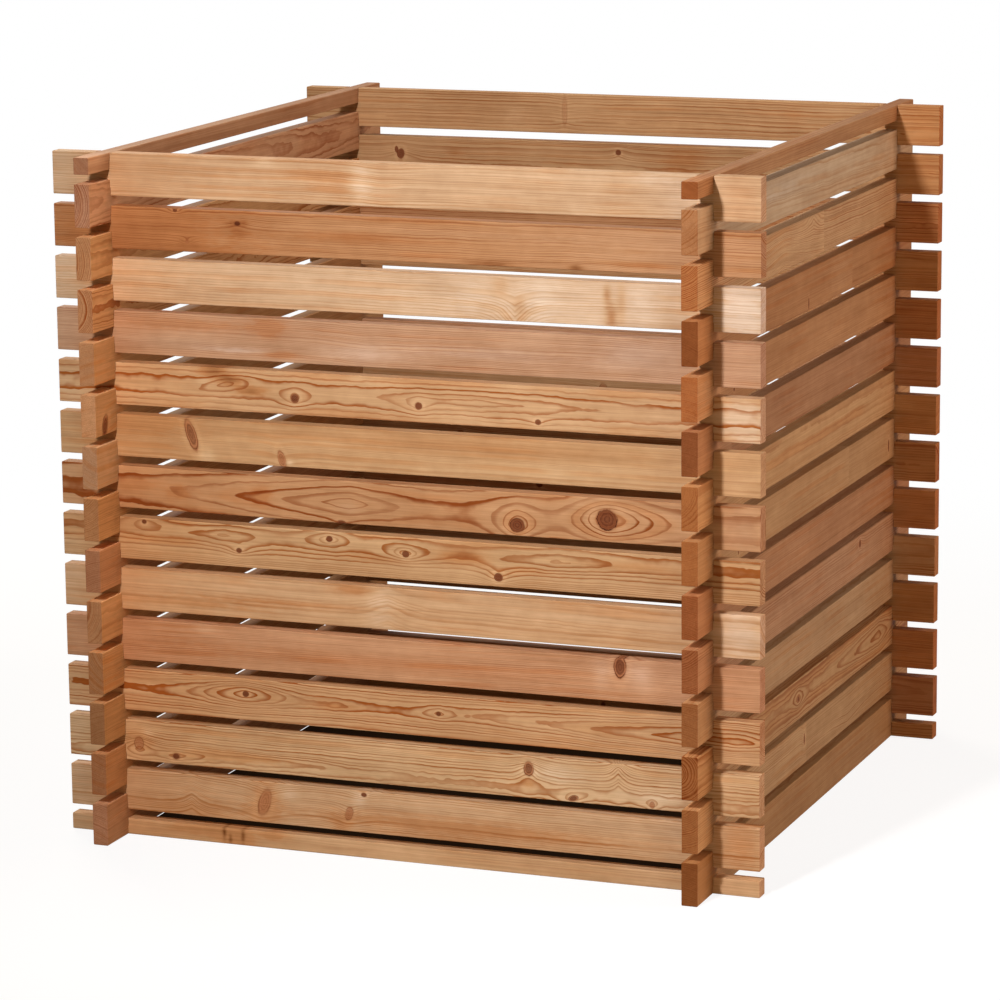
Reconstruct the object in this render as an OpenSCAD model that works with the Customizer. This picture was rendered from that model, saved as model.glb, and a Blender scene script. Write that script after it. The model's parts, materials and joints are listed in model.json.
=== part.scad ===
// Slatted wooden composter, stacked like a log cabin.
// Four walls of notched slats, open at the top and at the ground.
// Every slat is notched near both ends, above and below, and drops over
// the slats of the two neighbouring walls. Nothing else holds the walls.
// Millimetres, +Z up, front towards -Y, origin on the ground at the middle
// of the square plan.

/* [Walls] */
// Full-width slats in each wall
rows = 13; // [2:1:14]
// Length of every slat, end to end
slat_length = 1000; // [500:10:1600]
// Open gap between one slat and the next in the same wall
air_gap = 13; // [6:0.5:20]

/* [Slats] */
// Width of a full slat, measured up the wall
slat_width = 58; // [44:0.5:95]
// Thickness of a slat
slat_thickness = 22; // [15:0.5:34]
// Radius planed along the four long edges
edge_radius = 2; // [0.5:0.25:4]

/* [Corner joints] */
// Length of slat that stands out past the wall it crosses
overhang = 64; // [20:1:150]
// Play between a notch and the faces of the slat in it, on each side
notch_play = 0.5; // [0.2:0.1:1.5]

/* [Hidden] */
// Crossing slats bear on each other at their notch floors, so the width that
// is left between two notches sets the pitch, and the gap sets their depth.
notch_depth = (slat_width - air_gap) / 4;
neck_width = slat_width - 2 * notch_depth;
pitch = 2 * neck_width;
// The walls are half a pitch apart in height, so each pair of walls has one
// narrow slat that brings it level: the front and back pair at the ground,
// the left and right pair at the rim.
half_slat_width = 2 * notch_depth;
lift_of_front = neck_width;
wall_height = rows * pitch - neck_width + slat_width;

// Middle of a wall's thickness, from the middle of the plan
wall_middle = slat_length / 2 - overhang - slat_thickness / 2;
notch_length = slat_thickness + 2 * notch_play;
// How far a cutter runs past the face that it opens
cut_past = 1;
arc_steps = 24;

// Larch, from pale sapwood to red heartwood
PALE = "#dcb28a";
HONEY = "#d3a06e";
ROSY = "#cd9b7a";
GOLDEN = "#d0a26c";
RUSSET = "#b9794e";
// Tones up each wall, from the ground
FRONT_TONES = [GOLDEN, PALE, GOLDEN, HONEY, ROSY, PALE, HONEY, RUSSET, HONEY, GOLDEN, ROSY, PALE, RUSSET, PALE];
BACK_TONES = [HONEY, ROSY, RUSSET, HONEY, PALE, RUSSET, GOLDEN, HONEY, ROSY, RUSSET, HONEY, RUSSET, ROSY, HONEY];
LEFT_TONES = [HONEY, ROSY, RUSSET, GOLDEN, HONEY, RUSSET, HONEY, ROSY, GOLDEN, HONEY, ROSY, HONEY, GOLDEN, ROSY];
RIGHT_TONES = [RUSSET, HONEY, ROSY, HONEY, RUSSET, GOLDEN, ROSY, HONEY, RUSSET, ROSY, RUSSET, HONEY, PALE, HONEY];

function two_digits(number) = number < 10 ? str("0", number) : str(number);
function slat_name(wall, row) = str(wall, "_slat_", two_digits(row));
function row_base(row) = (row - 1) * pitch;
function tone(tones, place) = tones[place % len(tones)];

WALLS = ["front", "back", "left", "right"];

// Section of a slat, standing on its edge, with its long edges rounded
module slat_section(width) {
    inner_thickness = slat_thickness - 2 * edge_radius;
    inner_width = width - 2 * edge_radius;
    translate([0, width / 2]) {
        square([inner_thickness, width], center = true);
        square([slat_thickness, inner_width], center = true);
        for (side = [-1, 1], end = [-1, 1])
            translate([side * inner_thickness / 2, end * inner_width / 2])
                circle(r = edge_radius, $fn = arc_steps);
    }
}

// The two notches cut down from one edge, or up from it when turned over
module notch_pair() {
    for (end = [-1, 1])
        translate([end * wall_middle - notch_length / 2, -slat_thickness / 2 - cut_past, -cut_past])
            cube([notch_length, slat_thickness + 2 * cut_past, notch_depth + cut_past]);
}

// A slat along X with its lower edge on z = 0
module slat(width, notched_below, notched_above) {
    difference() {
        translate([-slat_length / 2, 0, 0])
            rotate([90, 0, 90])
                linear_extrude(slat_length)
                    slat_section(width);
        if (notched_below) notch_pair();
        if (notched_above) translate([0, 0, width]) mirror([0, 0, 1]) notch_pair();
    }
}

module full_slat() {
    slat(slat_width, notched_below = true, notched_above = true);
}

// Puts a slat into the wall that faces the given way, counted in quarter
// turns from the front
module in_wall(quarter_turns, base) {
    rotate([0, 0, quarter_turns * 90])
        translate([0, -wall_middle, base])
            children();
}

module front_half_slat() {
    color(tone(FRONT_TONES, 0))
        in_wall(0, 0)
            slat(half_slat_width, notched_below = false, notched_above = true);
}

module back_half_slat() {
    color(tone(BACK_TONES, 0))
        in_wall(2, 0)
            slat(half_slat_width, notched_below = false, notched_above = true);
}

module left_half_slat() {
    color(tone(LEFT_TONES, 0))
        in_wall(3, wall_height - half_slat_width)
            slat(half_slat_width, notched_below = true, notched_above = false);
}

module right_half_slat() {
    color(tone(RIGHT_TONES, 0))
        in_wall(1, wall_height - half_slat_width)
            slat(half_slat_width, notched_below = true, notched_above = false);
}

module front_slat(row) {
    color(tone(FRONT_TONES, row))
        in_wall(0, lift_of_front + row_base(row))
            full_slat();
}

module back_slat(row) {
    color(tone(BACK_TONES, row))
        in_wall(2, lift_of_front + row_base(row))
            full_slat();
}

module left_slat(row) {
    color(tone(LEFT_TONES, row))
        in_wall(3, row_base(row))
            full_slat();
}

module right_slat(row) {
    color(tone(RIGHT_TONES, row))
        in_wall(1, row_base(row))
            full_slat();
}

front_half_slat();
back_half_slat();
left_half_slat();
right_half_slat();
for (row = [1 : rows]) {
    front_slat(row);
    back_slat(row);
    left_slat(row);
    right_slat(row);
}
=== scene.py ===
import json
import math
import random

import bpy
from mathutils import Matrix, Vector


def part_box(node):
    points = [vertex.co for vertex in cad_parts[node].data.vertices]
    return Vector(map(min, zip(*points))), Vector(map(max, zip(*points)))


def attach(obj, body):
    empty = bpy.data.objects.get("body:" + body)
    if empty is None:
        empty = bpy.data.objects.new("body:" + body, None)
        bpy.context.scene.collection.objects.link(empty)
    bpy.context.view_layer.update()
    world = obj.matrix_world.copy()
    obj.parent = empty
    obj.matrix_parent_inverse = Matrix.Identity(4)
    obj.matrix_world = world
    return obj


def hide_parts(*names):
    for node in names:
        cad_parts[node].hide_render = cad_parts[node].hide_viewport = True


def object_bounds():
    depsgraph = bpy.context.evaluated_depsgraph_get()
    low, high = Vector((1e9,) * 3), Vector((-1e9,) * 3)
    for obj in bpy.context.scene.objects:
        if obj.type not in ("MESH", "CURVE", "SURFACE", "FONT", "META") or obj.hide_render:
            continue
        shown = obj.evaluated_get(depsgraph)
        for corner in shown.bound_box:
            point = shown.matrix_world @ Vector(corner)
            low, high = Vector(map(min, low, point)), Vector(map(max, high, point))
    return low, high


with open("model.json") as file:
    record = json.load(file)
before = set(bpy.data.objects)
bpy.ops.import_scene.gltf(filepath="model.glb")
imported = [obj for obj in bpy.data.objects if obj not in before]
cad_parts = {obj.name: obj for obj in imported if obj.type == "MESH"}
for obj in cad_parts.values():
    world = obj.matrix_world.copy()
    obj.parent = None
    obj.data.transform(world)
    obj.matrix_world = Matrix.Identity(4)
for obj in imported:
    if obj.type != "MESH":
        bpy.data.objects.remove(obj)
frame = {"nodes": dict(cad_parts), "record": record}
cad_low, cad_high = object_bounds()


# View: the composter is seen from its front right corner, a little from above,
# through a long lens, with its rim open towards the camera.
CAMERA_PLACE = (2.08, -5.42, 1.61)
CAMERA_TURN = math.radians(21.249)
CAMERA_DIP = math.radians(11.648)
CAMERA_ROLL = math.radians(-0.559)
CAMERA_LENS = 149.91


def add_object(name, data):
    """A new object in the scene."""
    made = bpy.data.objects.new(name, data)
    bpy.context.scene.collection.objects.link(made)
    return made


camera_data = bpy.data.cameras.new("camera")
camera_data.sensor_width = 36
camera_data.lens = CAMERA_LENS
camera = add_object("camera", camera_data)
camera.matrix_world = (
    Matrix.Translation(CAMERA_PLACE)
    @ Matrix.Rotation(CAMERA_TURN, 4, "Z")
    @ Matrix.Rotation(math.radians(90) - CAMERA_DIP, 4, "X")
    @ Matrix.Rotation(CAMERA_ROLL, 4, "Z")
)
bpy.context.scene.camera = camera
bpy.context.scene.view_settings.view_transform = "Standard"


# Studio: a hooded lamp in front, high and a little to the left, gives the crisp
# shadows beside the slat ends. Softboxes light the right side, the rim and the
# back from so low or so steep that the inside stays dark, and the room is dim.
KEY_PLACE = (-0.06, -2.88, 2.28)
KEY_AIM = (0.5, -0.436, 0.8)
KEY_RADIUS = 0.12
KEY_CONE = math.radians(64)
KEY_POWER = 355
KEY_TINT = (1.0, 0.97, 0.98)
SOFTBOX_SIZE = 1.6
SOFTBOXES = {
    "side": ((3.2, 0.6, 1.5), 55, (1.0, 0.83, 0.73)),
    "overhead": ((-0.1, 0.1, 3.4), 15, (1.0, 0.85, 0.68)),
    "rear": ((-2.6, 2.6, 2.2), 75, (1.0, 0.90, 0.76)),
    "fill": ((2.4, -3.0, 1.0), 18, (1.0, 0.72, 0.42)),
}
MIDDLE = (0, 0, 0.5)
ROOM_LIGHT = 0.075
ROOM_TINT = (1.0, 0.86, 0.68, 1)
WHITE = (1, 1, 1, 1)


def place_lamp(lamp, place, aim, power, tint):
    """Puts a lamp at a place and points it."""
    lamp.energy = power
    lamp.color = tint
    holder = add_object(lamp.name, lamp)
    holder.location = place
    holder.rotation_euler = (Vector(aim) - Vector(place)).to_track_quat("-Z", "Y").to_euler()


def bare_tree(owner):
    """The emptied node tree of a material or of the room."""
    owner.use_nodes = True
    owner.node_tree.nodes.clear()
    return owner.node_tree


def feed(tree, socket, value):
    """Gives a socket a plain value or the output of another node."""
    if isinstance(value, bpy.types.NodeSocket):
        tree.links.new(value, socket)
    else:
        socket.default_value = value


def add_node(tree, kind, sockets=None, **settings):
    """Adds a node with its settings and feeds its sockets."""
    node = tree.nodes.new(kind)
    for name, value in settings.items():
        setattr(node, name, value)
    for socket, value in (sockets or {}).items():
        feed(tree, node.inputs[socket], value)
    return node


def calc(tree, operation, *values):
    """One step of arithmetic on numbers."""
    return add_node(tree, "ShaderNodeMath", dict(enumerate(values)), operation=operation).outputs[0]


def times(tree, first, second):
    """Two numbers multiplied."""
    return calc(tree, "MULTIPLY", first, second)


def line(tree, value, slope, start):
    """A value times a slope, plus a start."""
    return calc(tree, "MULTIPLY_ADD", value, slope, start)


def mix_colours(tree, share, under, over, blend="MIX"):
    """Two colours mixed or multiplied."""
    sockets = {0: share, 6: under, 7: over}
    return add_node(tree, "ShaderNodeMix", sockets, data_type="RGBA", blend_type=blend).outputs[2]


def seen_as_background(tree):
    """1 for what the camera, a reflection or a pane shows, and 0 for light on the object."""
    path = add_node(tree, "ShaderNodeLightPath")
    direct = calc(tree, "MAXIMUM", path.outputs["Is Camera Ray"], path.outputs["Is Glossy Ray"])
    return calc(tree, "MAXIMUM", direct, path.outputs["Is Transmission Ray"])


key = bpy.data.lights.new("key", "SPOT")
key.shadow_soft_size = KEY_RADIUS
key.spot_size = KEY_CONE
key.spot_blend = 1.0
place_lamp(key, KEY_PLACE, KEY_AIM, KEY_POWER, KEY_TINT)
for name, (place, power, tint) in SOFTBOXES.items():
    softbox = bpy.data.lights.new(name, "AREA")
    softbox.size = SOFTBOX_SIZE
    place_lamp(softbox, place, MIDDLE, power, tint)

room = bpy.data.worlds.new("room")
bpy.context.scene.world = room
room_tree = bare_tree(room)
room_seen = seen_as_background(room_tree)
room_strength = calc(room_tree, "MAXIMUM", room_seen, ROOM_LIGHT)
room_colour = mix_colours(room_tree, room_seen, ROOM_TINT, WHITE)
room_light = add_node(room_tree, "ShaderNodeBackground", {"Color": room_colour, "Strength": room_strength})
add_node(room_tree, "ShaderNodeOutputWorld", {"Surface": room_light.outputs[0]})

FLOOR_REACH = 30
FLOOR_DROP = 0.0004
FLOOR_GREY = (0.31, 0.28, 0.24, 1)
FLOOR_INSIDE_PAINTED_SHADE = (0.05, 0.036, 0.025, 1)
SHADOW_SHARE = 0.2
SHADOW_LIFT = 0.86
SHADOW_NEAR = 0.9
SHADOW_FAR = 2.4

floor_mesh = bpy.data.meshes.new("floor")
floor_corners = ((-1, -1), (1, -1), (1, 1), (-1, 1))
floor_places = [(x * FLOOR_REACH, y * FLOOR_REACH, -FLOOR_DROP) for x, y in floor_corners]
floor_mesh.from_pydata(floor_places, [], [(0, 1, 2, 3)])
floor = add_object("floor", floor_mesh)


def floor_material():
    """Pale floor that shows white, with a soft shadow near the object, and inside its walls true shade on a
    floor painted dark brown as painted shade.
    """
    material = bpy.data.materials.new("pale floor")
    tree = bare_tree(material)
    place = add_node(tree, "ShaderNodeTexCoord").outputs["Object"]
    x, y = add_node(tree, "ShaderNodeSeparateXYZ", {0: place}).outputs[:2]
    reach = calc(tree, "MAXIMUM", calc(tree, "ABSOLUTE", x), calc(tree, "ABSOLUTE", y))
    outside = calc(tree, "GREATER_THAN", reach, WALL_INSIDE)
    white = times(tree, seen_as_background(tree), outside)
    span = {"Value": add_node(tree, "ShaderNodeVectorMath", {0: place}, operation="LENGTH").outputs["Value"]}
    span |= {"From Min": SHADOW_NEAR, "From Max": SHADOW_FAR, "To Min": 1.0, "To Max": 0.0}
    near = add_node(tree, "ShaderNodeMapRange", span, interpolation_type="SMOOTHSTEP").outputs[0]
    share = times(tree, near, SHADOW_SHARE)
    shares = add_node(tree, "ShaderNodeCombineColor", {n: share for n in ("Red", "Green", "Blue")}).outputs[0]
    # Inside the walls the floor is painted dark brown, a painted shade, for light as well as for the camera.
    grey_and_painted_shade = mix_colours(tree, outside, FLOOR_INSIDE_PAINTED_SHADE, FLOOR_GREY)
    paint = mix_colours(tree, white, grey_and_painted_shade, shares)
    matt = add_node(tree, "ShaderNodeBsdfDiffuse", {"Color": paint}).outputs[0]
    lift = line(tree, near, SHADOW_LIFT - 1.0, 1.0)
    glow = {"Color": WHITE, "Strength": times(tree, lift, white)}
    glow = add_node(tree, "ShaderNodeEmission", glow).outputs[0]
    both = add_node(tree, "ShaderNodeAddShader", {0: matt, 1: glow}).outputs[0]
    add_node(tree, "ShaderNodeOutputMaterial", {"Surface": both})
    return material


WALL_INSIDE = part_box("right_slat_01")[0].x
floor_mesh.materials.append(floor_material())


# Slats of all four walls: planed larch laths with softly rounded long edges,
# sawn square at the ends and notched above and below where they cross. They
# drop over each other without a nail, neck floor on neck floor.
NOTCH_PLAY = 0.0005
EDGE_RADIUS = 0.0013
END_BREAK = 0.0005
MOST_TRIM = 0.0008
MOST_BOW = 0.0006
ARC_STEPS = 4
BAY_COUNT = 12
MERGE_GAP = 0.00001

slat_low, slat_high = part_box("front_slat_01")
next_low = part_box("front_slat_02")[0]
SLAT_LENGTH = slat_high.x - slat_low.x
SLAT_THICKNESS = slat_high.y - slat_low.y
SLAT_WIDTH = slat_high.z - slat_low.z
NECK_WIDTH = (next_low.z - slat_low.z) / 2
NOTCH_DEPTH = (SLAT_WIDTH - NECK_WIDTH) / 2
WALL_MIDDLE = -(slat_low.y + slat_high.y) / 2
NOTCH_LENGTH = SLAT_THICKNESS + 2 * NOTCH_PLAY


def add_input(tree, name, kind, default=None):
    """Gives a node tree a named input."""
    socket = tree.interface.new_socket(name=name, in_out="INPUT", socket_type=kind)
    if default is not None:
        socket.default_value = default
    return socket


def plus(tree, first, second):
    """Two numbers added."""
    return calc(tree, "ADD", first, second)


def minus(tree, first, second):
    """The first number less the second."""
    return calc(tree, "SUBTRACT", first, second)


def choose(tree, test, if_not, if_so):
    """One of two numbers, as a test of 0 or 1 says."""
    sockets = {0: test, 2: if_not, 3: if_so}
    return add_node(tree, "ShaderNodeMix", sockets, data_type="FLOAT").outputs[0]


def pick(tree, index, values):
    """The value at a place in a short list."""
    switch = add_node(tree, "GeometryNodeIndexSwitch", data_type="FLOAT")
    while len(switch.index_switch_items) < len(values):
        switch.index_switch_items.new()
    for place, value in enumerate((index, *values)):
        feed(tree, switch.inputs[place], value)
    return switch.outputs[0]


def join(tree, x=0.0, y=0.0, z=0.0):
    """Three numbers as a vector."""
    return add_node(tree, "ShaderNodeCombineXYZ", {0: x, 1: y, 2: z}).outputs[0]


def notched_slat_tree():
    """A grid of stations along the slat, each a ring of points round its section."""
    tree = bpy.data.node_groups.new("notched slat", "GeometryNodeTree")
    for name in ("Length", "Width", "Thickness", "Edge Radius", "End Break"):
        add_input(tree, name, "NodeSocketFloat", 0.01)
    for name in ("Notch Middle", "Notch Length", "Notch Below", "Notch Above"):
        add_input(tree, name, "NodeSocketFloat", 0.01)
    for name in ("Start Trim", "End Trim", "Bow Out", "Bow Up"):
        add_input(tree, name, "NodeSocketFloat", 0.0)
    add_input(tree, "Wall Place", "NodeSocketVector", (0, 0, 0))
    add_input(tree, "Wall Turn", "NodeSocketFloat", 0.0)
    add_input(tree, "Timber", "NodeSocketMaterial")
    tree.interface.new_socket(name="Slat", in_out="OUTPUT", socket_type="NodeSocketGeometry")
    given = add_node(tree, "NodeGroupInput").outputs

    end_stations = 7
    station_count = 2 * end_stations + BAY_COUNT - 1
    corner_points = ARC_STEPS + 2
    ring_points = 4 * corner_points
    sides = {"Vertices X": station_count, "Vertices Y": ring_points + 1}
    grid = add_node(tree, "GeometryNodeMeshGrid", sides)
    index = add_node(tree, "GeometryNodeInputIndex").outputs[0]
    station = calc(tree, "FLOOR", calc(tree, "DIVIDE", plus(tree, index, 0.5), ring_points + 1))
    seam_place = minus(tree, index, times(tree, station, ring_points + 1))
    place = calc(tree, "FLOORED_MODULO", plus(tree, seam_place, 0.5), ring_points)

    # Stations are listed from an end inwards, and the far half mirrors them:
    # end middle, end rim, broken edge, notch wall twice, far notch wall twice.
    from_end = calc(tree, "MINIMUM", station, minus(tree, station_count - 1, station))
    far_half = calc(tree, "GREATER_THAN", station, (station_count - 1) / 2)
    trim = choose(tree, far_half, given["Start Trim"], given["End Trim"])
    end = minus(tree, times(tree, given["Length"], 0.5), trim)
    broken = minus(tree, end, given["End Break"])
    half_notch = times(tree, given["Notch Length"], 0.5)
    outer_wall = plus(tree, given["Notch Middle"], half_notch)
    inner_wall = minus(tree, given["Notch Middle"], half_notch)
    listed = calc(tree, "MINIMUM", from_end, end_stations - 1)
    distances = (end, end, broken, outer_wall, outer_wall, inner_wall, inner_wall)
    from_middle = pick(tree, listed, distances)
    signed = times(tree, from_middle, choose(tree, far_half, -1.0, 1.0))
    bay = calc(tree, "DIVIDE", minus(tree, station, end_stations - 1), BAY_COUNT)
    across = times(tree, inner_wall, line(tree, bay, 2.0, -1.0))
    in_bays = calc(tree, "GREATER_THAN", from_end, end_stations - 0.5)
    x = choose(tree, in_bays, signed, across)
    in_neck = pick(tree, listed, (0.0, 0.0, 0.0, 0.0, 1.0, 1.0, 0.0))
    inset = times(tree, given["End Break"], pick(tree, listed, (1.0, 1.0, 0.0, 0.0, 0.0, 0.0, 0.0)))
    ring_size = pick(tree, listed, (0.0, 1.0, 1.0, 1.0, 1.0, 1.0, 1.0))

    # Round the section there are four corners, each an arc and, on the face
    # beside it, a point level with the notch floor.
    corner = calc(tree, "FLOOR", calc(tree, "DIVIDE", place, corner_points))
    step = calc(tree, "FLOOR", calc(tree, "FLOORED_MODULO", place, corner_points))
    side = pick(tree, corner, (1.0, 1.0, -1.0, -1.0))
    upper = pick(tree, corner, (0.0, 1.0, 1.0, 0.0))
    arc_first = pick(tree, corner, (1.0, 0.0, 1.0, 0.0))
    on_face = calc(tree, "COMPARE", step, choose(tree, arc_first, 0.0, ARC_STEPS + 1.0), 0.1)
    arc_step = minus(tree, step, minus(tree, 1.0, arc_first))
    turn = plus(tree, minus(tree, corner, 1.0), calc(tree, "DIVIDE", arc_step, ARC_STEPS))
    angle = times(tree, turn, math.pi / 2)
    notch = choose(tree, upper, given["Notch Below"], given["Notch Above"])
    notched = times(tree, in_neck, calc(tree, "GREATER_THAN", notch, MERGE_GAP))
    radius = times(tree, given["Edge Radius"], minus(tree, 1.0, notched))
    sunk = plus(tree, inset, times(tree, in_neck, notch))
    half_thickness = minus(tree, times(tree, given["Thickness"], 0.5), inset)
    corner_y = times(tree, side, minus(tree, half_thickness, radius))
    arc_y = line(tree, radius, calc(tree, "COSINE", angle), corner_y)
    low_z = plus(tree, sunk, radius)
    high_z = minus(tree, given["Width"], low_z)
    corner_z = choose(tree, upper, low_z, high_z)
    arc_z = line(tree, radius, calc(tree, "SINE", angle), corner_z)
    face_level = calc(tree, "MAXIMUM", notch, plus(tree, given["Edge Radius"], inset))
    face_z = choose(tree, upper, face_level, minus(tree, given["Width"], face_level))
    ring_y = choose(tree, on_face, arc_y, times(tree, side, half_thickness))
    ring_z = choose(tree, on_face, arc_z, face_z)
    half_width = times(tree, given["Width"], 0.5)
    y = times(tree, ring_y, ring_size)
    z = choose(tree, ring_size, half_width, ring_z)

    # The lath has dried a little out of true: it bows between its crossings.
    along = calc(tree, "DIVIDE", x, given["Notch Middle"])
    arch = minus(tree, 1.0, times(tree, along, along))
    arch = times(tree, arch, minus(tree, 1.0, in_neck))
    y = line(tree, arch, given["Bow Out"], y)
    z = line(tree, arch, given["Bow Up"], z)

    steps = (
        ("GeometryNodeSetPosition", {"Position": join(tree, x, y, z)}),
        ("GeometryNodeMergeByDistance", {"Distance": MERGE_GAP}),
        ("GeometryNodeSetShadeSmooth", {"Shade Smooth": False}),
        ("GeometryNodeTransform", {"Translation": given["Wall Place"]}),
        ("GeometryNodeTransform", {"Rotation": join(tree, z=given["Wall Turn"])}),
        ("GeometryNodeRealizeInstances", {}),
        ("GeometryNodeSetMaterial", {"Material": given["Timber"]}),
    )
    slat = grid.outputs["Mesh"]
    for kind, sockets in steps:
        slat = add_node(tree, kind, {"Geometry": slat, **sockets}).outputs[0]
    add_node(tree, "NodeGroupOutput", {"Slat": slat})
    return tree


def shader_group(name, inputs, outputs):
    """A new shader node group, with sockets that fit the given defaults, and what comes into it."""
    tree = bpy.data.node_groups.new(name, "ShaderNodeTree")
    for side, sockets in (("INPUT", inputs), ("OUTPUT", outputs)):
        for socket, default in sockets.items():
            parts = len(default) if isinstance(default, tuple) else 1
            kind = {1: "NodeSocketFloat", 3: "NodeSocketVector", 4: "NodeSocketColor"}[parts]
            tree.interface.new_socket(name=socket, in_out=side, socket_type=kind).default_value = default
    return tree, add_node(tree, "NodeGroupInput").outputs


def split(tree, vector):
    """The three parts of a vector."""
    return add_node(tree, "ShaderNodeSeparateXYZ", {0: vector}).outputs


def vector_calc(tree, operation, *values):
    """One step of arithmetic on vectors."""
    node = add_node(tree, "ShaderNodeVectorMath", dict(enumerate(values)), operation=operation)
    return node.outputs["Value" if operation in ("LENGTH", "DOT_PRODUCT") else "Vector"]


def noise(tree, place, clouds=None, detail=2.0, roughness=0.5):
    """Soft noise around 0.5, with so many clouds to the metre each way: a number and three numbers."""
    place = vector_calc(tree, "MULTIPLY", place, clouds) if clouds else place
    sockets = {"Vector": place, "Scale": 1.0, "Detail": detail, "Roughness": roughness}
    return add_node(tree, "ShaderNodeTexNoise", sockets, noise_dimensions="3D").outputs


def ramp(tree, value, low, high, out_low=0.0, out_high=1.0):
    """A smooth clamped rise or fall from one value to another."""
    sockets = {"Value": value, "From Min": low, "From Max": high, "To Min": out_low, "To Max": out_high}
    return add_node(tree, "ShaderNodeMapRange", sockets, interpolation_type="SMOOTHSTEP").outputs[0]


def evenly(tree, value):
    """One number as all three parts of a vector."""
    return join(tree, value, value, value)


def bell(tree, distance):
    """1 at the middle, falling off like a bell with distance."""
    return calc(tree, "POWER", math.e, times(tree, times(tree, distance, distance), -1.0))


# A knot is where a branch grew through the lath: a brown disc with fine rings
# of its own and a dark rim. The growth rings of the trunk swell out round it.
KNOT_CHAIN = dict.fromkeys(("Lift", "Heart", "Rim", "Halo", "Rings"), 0.0)
KNOT_SPREAD = 1.4
SWELL_ROUNDNESS = 1.3
KNOT_WOBBLE = 0.3
KNOT_CLOUDS = (160, 160, 160)
RIM_PLACE = 0.95
RIM_WIDTH = 0.12
HALO_PLACE = 1.6
HALO_WIDTH = 0.4


def knot_group():
    """One knot, or with no darkness a place where the rings only swell."""
    sockets = KNOT_CHAIN | {
        "Position": (0, 0, 0),
        "Centre": (0, 0, 0),
        "Radii": (1, 1, 1),
        "Reach": (3.4, 1, 2.6),
        "Tail": 1.0,
        "Roundness": 1.7,
        "Turn": 0.0,
        "Swell": -0.007,
        "Darkness": 1.0,
    }
    tree, given = shader_group("knot", sockets, KNOT_CHAIN)
    local = vector_calc(tree, "SUBTRACT", given["Position"], given["Centre"])
    turn = {"Vector": local, "Axis": (0, 1, 0), "Angle": given["Turn"]}
    turned = add_node(tree, "ShaderNodeVectorRotate", turn, rotation_type="AXIS_ANGLE").outputs[0]
    turned = vector_calc(tree, "MULTIPLY", turned, (1, 0, 1))
    scaled = vector_calc(tree, "DIVIDE", turned, given["Radii"])
    wobble = noise(tree, given["Position"], KNOT_CLOUDS)[0]
    waver = line(tree, wobble, KNOT_WOBBLE, -KNOT_WOBBLE / 2)
    distance = plus(tree, vector_calc(tree, "LENGTH", scaled), waver)

    # The rings close round it in ovals, more or less pointed, drawn out to the left.
    x, _, z = split(tree, vector_calc(tree, "DIVIDE", scaled, given["Reach"]))[:3]
    drawn_out = choose(tree, calc(tree, "LESS_THAN", x, 0.0), 1.0, given["Tail"])
    along = calc(tree, "ABSOLUTE", calc(tree, "DIVIDE", x, drawn_out))
    along = calc(tree, "POWER", along, given["Roundness"])
    up = calc(tree, "POWER", calc(tree, "ABSOLUTE", z), given["Roundness"])
    spread = calc(tree, "DIVIDE", KNOT_SPREAD, given["Roundness"])
    reached = calc(tree, "POWER", plus(tree, along, up), spread)
    fading = calc(tree, "EXPONENT", times(tree, reached, -1.0))
    lifted = line(tree, fading, given["Swell"], given["Lift"])

    # A paler knot is a softer one: its edge blends into the wood.
    softness = minus(tree, 1.0, given["Darkness"])
    inner_edge = line(tree, softness, -0.6, 0.85)
    outer_edge = line(tree, softness, 0.4, 1.08)
    heart = ramp(tree, distance, inner_edge, outer_edge, 1.0, 0.0)
    full = calc(tree, "MINIMUM", times(tree, given["Darkness"], 1.4), 1.0)
    heart = times(tree, heart, full)
    off_rim = calc(tree, "DIVIDE", minus(tree, distance, RIM_PLACE), RIM_WIDTH)
    rim = times(tree, bell(tree, off_rim), full)
    off_halo = calc(tree, "DIVIDE", minus(tree, distance, HALO_PLACE), HALO_WIDTH)
    halo = times(tree, bell(tree, off_halo), given["Darkness"])
    rings = choose(tree, calc(tree, "GREATER_THAN", heart, 0.001), given["Rings"], distance)
    results = {
        "Lift": lifted,
        "Heart": calc(tree, "MAXIMUM", heart, given["Heart"]),
        "Rim": calc(tree, "MAXIMUM", rim, given["Rim"]),
        "Halo": calc(tree, "MAXIMUM", halo, given["Halo"]),
        "Rings": rings,
    }
    add_node(tree, "NodeGroupOutput", results)
    return tree


STAIN_AND_PAINTED_LIGHT_CHAIN = {"Shade": 0.0, "Redness": 0.0}
STAIN_AND_PAINTED_LIGHT_CLOUDS = (70, 70, 260)
STAIN_AND_PAINTED_LIGHT_RAGGEDNESS = 1.1


def stain_and_painted_light_group():
    """A soft ragged patch that is paler, darker or redder than the wood round it: a real stain, and at slat
    ends and tails also painted light and shade.
    """
    sockets = STAIN_AND_PAINTED_LIGHT_CHAIN | {"Position": (0, 0, 0), "Centre": (0, 0, 0), "Radii": (0.01, 1, 0.01)}
    sockets |= {"Lighter": 0.1, "Redder": 0.0}
    tree, given = shader_group("stain_and_painted_light", sockets, STAIN_AND_PAINTED_LIGHT_CHAIN)
    local = vector_calc(tree, "SUBTRACT", given["Position"], given["Centre"])
    local = vector_calc(tree, "MULTIPLY", local, (1, 0, 1))
    distance = vector_calc(tree, "LENGTH", vector_calc(tree, "DIVIDE", local, given["Radii"]))
    ragged = noise(tree, given["Position"], STAIN_AND_PAINTED_LIGHT_CLOUDS, 3.0)[0]
    distance = line(tree, minus(tree, ragged, 0.5), STAIN_AND_PAINTED_LIGHT_RAGGEDNESS, distance)
    patch = bell(tree, distance)
    shade = line(tree, patch, given["Lighter"], given["Shade"])
    redness = line(tree, patch, given["Redder"], given["Redness"])
    add_node(tree, "NodeGroupOutput", {"Shade": shade, "Redness": redness})
    return tree


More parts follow.
